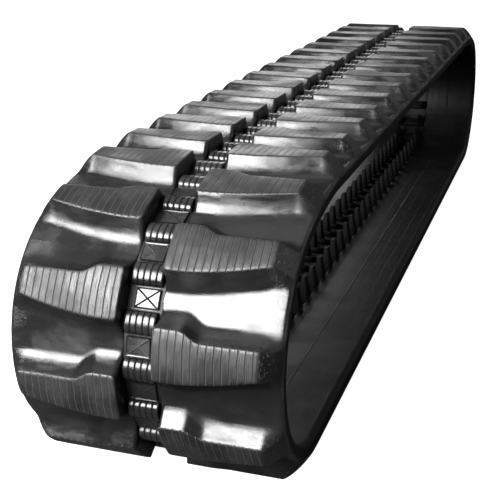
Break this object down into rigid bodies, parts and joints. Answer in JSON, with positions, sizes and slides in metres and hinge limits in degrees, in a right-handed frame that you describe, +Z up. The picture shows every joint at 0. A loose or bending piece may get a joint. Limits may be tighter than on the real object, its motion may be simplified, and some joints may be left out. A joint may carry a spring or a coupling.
{
  "type": "rubber track",
  "caption": "Endless rubber crawler track: staggered tread lugs outside, steel core links with guide horns inside, bending between its cores at both ends.",
  "frame": {"origin": "on the ground under the middle of the lower run", "axes": "+X along the run towards the rear bend, +Y to the left belt half, +Z up"},
  "size_m": [2.015, 0.35, 0.3985],
  "materials": {
    "carcass_rubber": "glossy wet black rubber",
    "tread_rubber": "glossy black rubber with fine moulded lines",
    "steel": "dark forged steel"
  },
  "bodies": {
    "bottom_run": {"carcass_bottom_front": "carcass_rubber", "cores_and_cords_bottom_front": "steel", "tread_left_bottom_front": "tread_rubber", "tread_right_bottom_front": "tread_rubber", "carcass_bottom_rear": "carcass_rubber", "cores_and_cords_bottom_rear": "steel", "tread_left_bottom_rear": "tread_rubber", "tread_right_bottom_rear": "tread_rubber"},
    "front_bend_1": {"carcass_front_bend_1": "carcass_rubber", "cores_and_cords_front_bend_1": "steel", "tread_left_front_bend_1": "tread_rubber", "tread_right_front_bend_1": "tread_rubber"},
    "front_bend_2": {"carcass_front_bend_2": "carcass_rubber", "cores_and_cords_front_bend_2": "steel", "tread_left_front_bend_2": "tread_rubber", "tread_right_front_bend_2": "tread_rubber"},
    "front_bend_3": {"carcass_front_bend_3": "carcass_rubber", "cores_and_cords_front_bend_3": "steel", "tread_left_front_bend_3": "tread_rubber", "tread_right_front_bend_3": "tread_rubber"},
    "front_bend_4": {"carcass_front_bend_4": "carcass_rubber", "cores_and_cords_front_bend_4": "steel", "tread_left_front_bend_4": "tread_rubber", "tread_right_front_bend_4": "tread_rubber"},
    "front_bend_5": {"carcass_front_bend_5": "carcass_rubber", "cores_and_cords_front_bend_5": "steel", "tread_left_front_bend_5": "tread_rubber", "tread_right_front_bend_5": "tread_rubber"},
    "top_front": {"carcass_top_front": "carcass_rubber", "cores_and_cords_top_front": "steel", "tread_left_top_front": "tread_rubber", "tread_right_top_front": "tread_rubber"},
    "top_rear": {"carcass_top_rear": "carcass_rubber", "cores_and_cords_top_rear": "steel", "tread_left_top_rear": "tread_rubber", "tread_right_top_rear": "tread_rubber"},
    "rear_bend_5": {"carcass_rear_bend_5": "carcass_rubber", "cores_and_cords_rear_bend_5": "steel", "tread_left_rear_bend_5": "tread_rubber", "tread_right_rear_bend_5": "tread_rubber"},
    "rear_bend_4": {"carcass_rear_bend_4": "carcass_rubber", "cores_and_cords_rear_bend_4": "steel", "tread_left_rear_bend_4": "tread_rubber", "tread_right_rear_bend_4": "tread_rubber"},
    "rear_bend_3": {"carcass_rear_bend_3": "carcass_rubber", "cores_and_cords_rear_bend_3": "steel", "tread_left_rear_bend_3": "tread_rubber", "tread_right_rear_bend_3": "tread_rubber"},
    "rear_bend_2": {"carcass_rear_bend_2": "carcass_rubber", "cores_and_cords_rear_bend_2": "steel", "tread_left_rear_bend_2": "tread_rubber", "tread_right_rear_bend_2": "tread_rubber"},
    "rear_bend_1": {"carcass_rear_bend_1": "carcass_rubber", "cores_and_cords_rear_bend_1": "steel", "tread_left_rear_bend_1": "tread_rubber", "tread_right_rear_bend_1": "tread_rubber"}
  },
  "joints": [
    {"name": "roll_front_low", "type": "hinge", "parent": "bottom_run", "child": "front_bend_1", "pos_m": [-0.81532, 0, 0.0345], "axis": [0, 1, 0], "range_deg": [0, 20]},
    {"name": "press_front_low", "type": "hinge", "parent": "front_bend_1", "child": "front_bend_2", "pos_m": [-0.91611, 0, 0.06978], "axis": [0, 1, 0], "range_deg": [-9.8, 5.2]},
    {"name": "press_front_mid", "type": "hinge", "parent": "front_bend_2", "child": "front_bend_3", "pos_m": [-0.97078, 0, 0.21596], "axis": [0, 1, 0], "range_deg": [-9.5, 18]},
    {"name": "roll_front_high", "type": "hinge", "parent": "front_bend_3", "child": "front_bend_4", "pos_m": [-0.87097, 0, 0.33594], "axis": [0, 1, 0], "range_deg": [-16.1, 0]},
    {"name": "press_front_top", "type": "hinge", "parent": "front_bend_4", "child": "front_bend_5", "pos_m": [-0.76505, 0, 0.36067], "axis": [0, 1, 0], "range_deg": [-8.3, 4.4]},
    {"name": "roll_front_top", "type": "hinge", "parent": "front_bend_5", "child": "top_front", "pos_m": [-0.71068, 0, 0.36397], "axis": [0, 1, 0], "range_deg": [-4.1, 0]},
    {"name": "roll_rear_low", "type": "hinge", "parent": "bottom_run", "child": "rear_bend_1", "pos_m": [0.81968, 0, 0.03451], "axis": [0, -1, 0], "range_deg": [-20.2, 0]},
    {"name": "press_rear_low", "type": "hinge", "parent": "rear_bend_1", "child": "rear_bend_2", "pos_m": [0.87294, 0, 0.04472], "axis": [0, -1, 0], "range_deg": [-10.1, 5.3]},
    {"name": "press_rear_mid", "type": "hinge", "parent": "rear_bend_2", "child": "rear_bend_3", "pos_m": [0.97112, 0, 0.16604], "axis": [0, -1, 0], "range_deg": [-9.6, 18.1]},
    {"name": "roll_rear_high", "type": "hinge", "parent": "rear_bend_3", "child": "rear_bend_4", "pos_m": [0.86686, 0, 0.3374], "axis": [0, -1, 0], "range_deg": [0, 11.4]},
    {"name": "press_rear_top", "type": "hinge", "parent": "rear_bend_4", "child": "rear_bend_5", "pos_m": [0.81446, 0, 0.35226], "axis": [0, -1, 0], "range_deg": [-8, 4.3]},
    {"name": "roll_rear_top", "type": "hinge", "parent": "rear_bend_5", "child": "top_rear", "pos_m": [0.70632, 0, 0.36398], "axis": [0, -1, 0], "range_deg": [0, 8.9]}
  ],
  "couplings": [
    {"joint": "roll_front_high", "follows": "roll_front_low", "ratio": -0.8},
    {"joint": "roll_front_top", "follows": "roll_front_low", "ratio": -0.2},
    {"joint": "roll_rear_top", "follows": "roll_front_low", "ratio": 0.4424},
    {"joint": "roll_rear_high", "follows": "roll_front_low", "ratio": 0.5622},
    {"joint": "roll_rear_low", "follows": "roll_front_low", "ratio": -1.0045},
    {"joint": "press_front_low", "follows": "press_front_mid", "ratio": -0.5405},
    {"joint": "press_front_top", "follows": "press_front_mid", "ratio": -0.4595},
    {"joint": "press_rear_low", "follows": "press_front_mid", "ratio": -0.557},
    {"joint": "press_rear_top", "follows": "press_front_mid", "ratio": -0.443},
    {"joint": "press_rear_mid", "follows": "press_front_mid", "ratio": 1}
  ]
}
